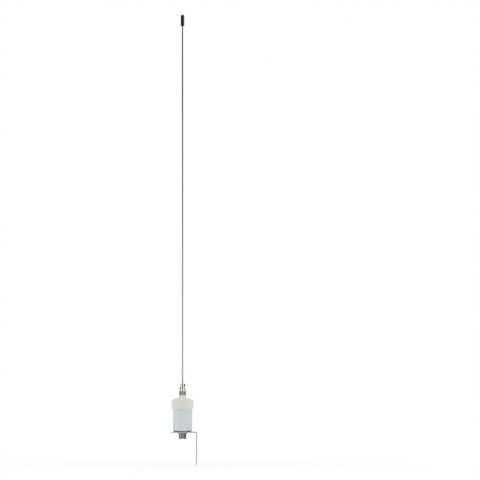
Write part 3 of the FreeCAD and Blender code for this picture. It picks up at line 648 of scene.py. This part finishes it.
def add_softbox(name, azimuth, distance, height, size, power, aim):
    """Soft lamp, aimed at a height of the antenna's axis, that camera and reflections don't see."""
    lamp = bpy.data.lights.new(name, "AREA")
    lamp.shape = "RECTANGLE"
    lamp.size, lamp.size_y = size
    lamp.energy = power
    item = bpy.data.objects.new(name, lamp)
    item.location = around(azimuth, distance, height)
    toward = Vector((AXIS.x, AXIS.y, aim)) - item.location
    item.rotation_euler = toward.to_track_quat("-Z", "Y").to_euler()
    item.visible_camera = False
    item.visible_glossy = False
    scene.collection.objects.link(item)


SIDES = {"left": -1, "right": 1}
LAMP_AIM = 0.12
SOCKET_CARDS_FOOT = -1.0
SOCKET_CARDS_TOP = PLATE_TOP + 1 * MM

make_world(ambient=0.60)
make_floor(radius=0.7, near_white=0.8, fade=(0.15, 0.65))

# Dim surroundings, and a broad glow before and behind the whip that fades upwards
add_card("studio_wall", azimuth=0, spread=180, distance=3.0, low=-1.5, high=3.0, glow=(0.05, 0.03))
add_card("back_card", azimuth=180, spread=34, distance=2.8, low=-0.3, high=0.8, glow=(1.3, 0.0))
add_card("front_card", azimuth=0, spread=100, distance=2.7,
         low=PLATE_TOP + 11 * MM, high=0.75, glow=(0.75, 0.0))

# Bands on the socket: bright to the left and right of its middle, grey between them, dark at its edges
add_card("front_low_card", azimuth=0, spread=100, distance=2.6,
         low=SOCKET_CARDS_FOOT, high=SOCKET_CARDS_TOP, glow=(0.52, 0.52))
add_card("left_low_card", azimuth=-62, spread=28, distance=2.4,
         low=SOCKET_CARDS_FOOT, high=SOCKET_CARDS_TOP, glow=(2.9, 2.9))
add_card("right_low_card", azimuth=29, spread=13, distance=2.4,
         low=SOCKET_CARDS_FOOT, high=SOCKET_CARDS_TOP, glow=(3.5, 3.5))
add_card("socket_back_card", azimuth=180, spread=85, distance=0.10,
         low=FLOOR_LEVEL, high=PLATE_TOP - 2 * MM, glow=(0.20, 0.12))

# Bands on the ferrule: a grey middle, bright sides, and a collar that is dark at its edges
add_card("middle_high_card", azimuth=0, spread=26, distance=0.12,
         low=FERRULE_TOP + 9 * MM, high=FERRULE_TOP + 39 * MM, glow=(0.28, 0.28))
for name, side in SIDES.items():
    add_card(f"{name}_high_card", azimuth=55 * side, spread=29, distance=0.12,
             low=FERRULE_TOP + 5 * MM, high=0.80, glow=(1.25, 0.0))
for name, side in SIDES.items():
    add_card(f"{name}_collar_card", azimuth=95 * side, spread=38, distance=0.10,
             low=FERRULE_FOOT - 9 * MM, high=FERRULE_FOOT + 13 * MM, glow=(0.12, 0.12))

# Sheen on the bracket's plate
add_card("plate_back_card", azimuth=180, spread=62, distance=0.3,
         low=PLATE_TOP + 61 * MM, high=PLATE_TOP + 301 * MM, glow=(0.55, 0.55))
add_card("plate_front_card", azimuth=0, spread=100, distance=0.3,
         low=PLATE_TOP + 61 * MM, high=PLATE_TOP + 301 * MM, glow=(0.40, 0.40))

# Sheen on the right of the tip
add_card("tip_card", azimuth=70, spread=40, distance=0.03,
         low=TIP_FOOT + 3 * MM, high=TIP_TOP + 12 * MM, glow=(3.4, 2.2))

# Soft light from both sides, from behind them and from above
for name, side in SIDES.items():
    add_softbox(f"{name}_softbox", azimuth=55 * side, distance=1.6, height=0.22, size=(0.55, 0.75),
                power=4.2, aim=LAMP_AIM)
for name, side in SIDES.items():
    add_softbox(f"{name}_kicker", azimuth=105 * side, distance=1.6, height=0.3, size=(0.6, 1.0),
                power=4.6, aim=LAMP_AIM)
add_softbox("overhead", azimuth=0, distance=0.3, height=2.4, size=(1.4, 1.4), power=14.0, aim=0.0)


# Camera, with the antenna's axis at the column that it has in the photograph

IMAGE_SIZE = 480
PIXEL = 2.12 * MM
AXIS_COLUMN = 182.55
CAMERA_DISTANCE = 20.0
SENSOR = 36.0


def make_camera():
    """Level camera, far off, with the antenna's axis at its column and the whole part in the frame."""
    low, high = cad_box
    camera = bpy.data.cameras.new("camera")
    camera.sensor_width = SENSOR
    camera.lens = SENSOR * CAMERA_DISTANCE / (IMAGE_SIZE * PIXEL)
    item = bpy.data.objects.new("camera", camera)
    aside = (IMAGE_SIZE / 2 - AXIS_COLUMN) * PIXEL
    item.location = (AXIS.x + aside, AXIS.y - CAMERA_DISTANCE, (low.z + high.z) / 2)
    item.rotation_euler = (math.pi / 2, 0.0, 0.0)
    scene.collection.objects.link(item)
    scene.camera = item


make_camera()
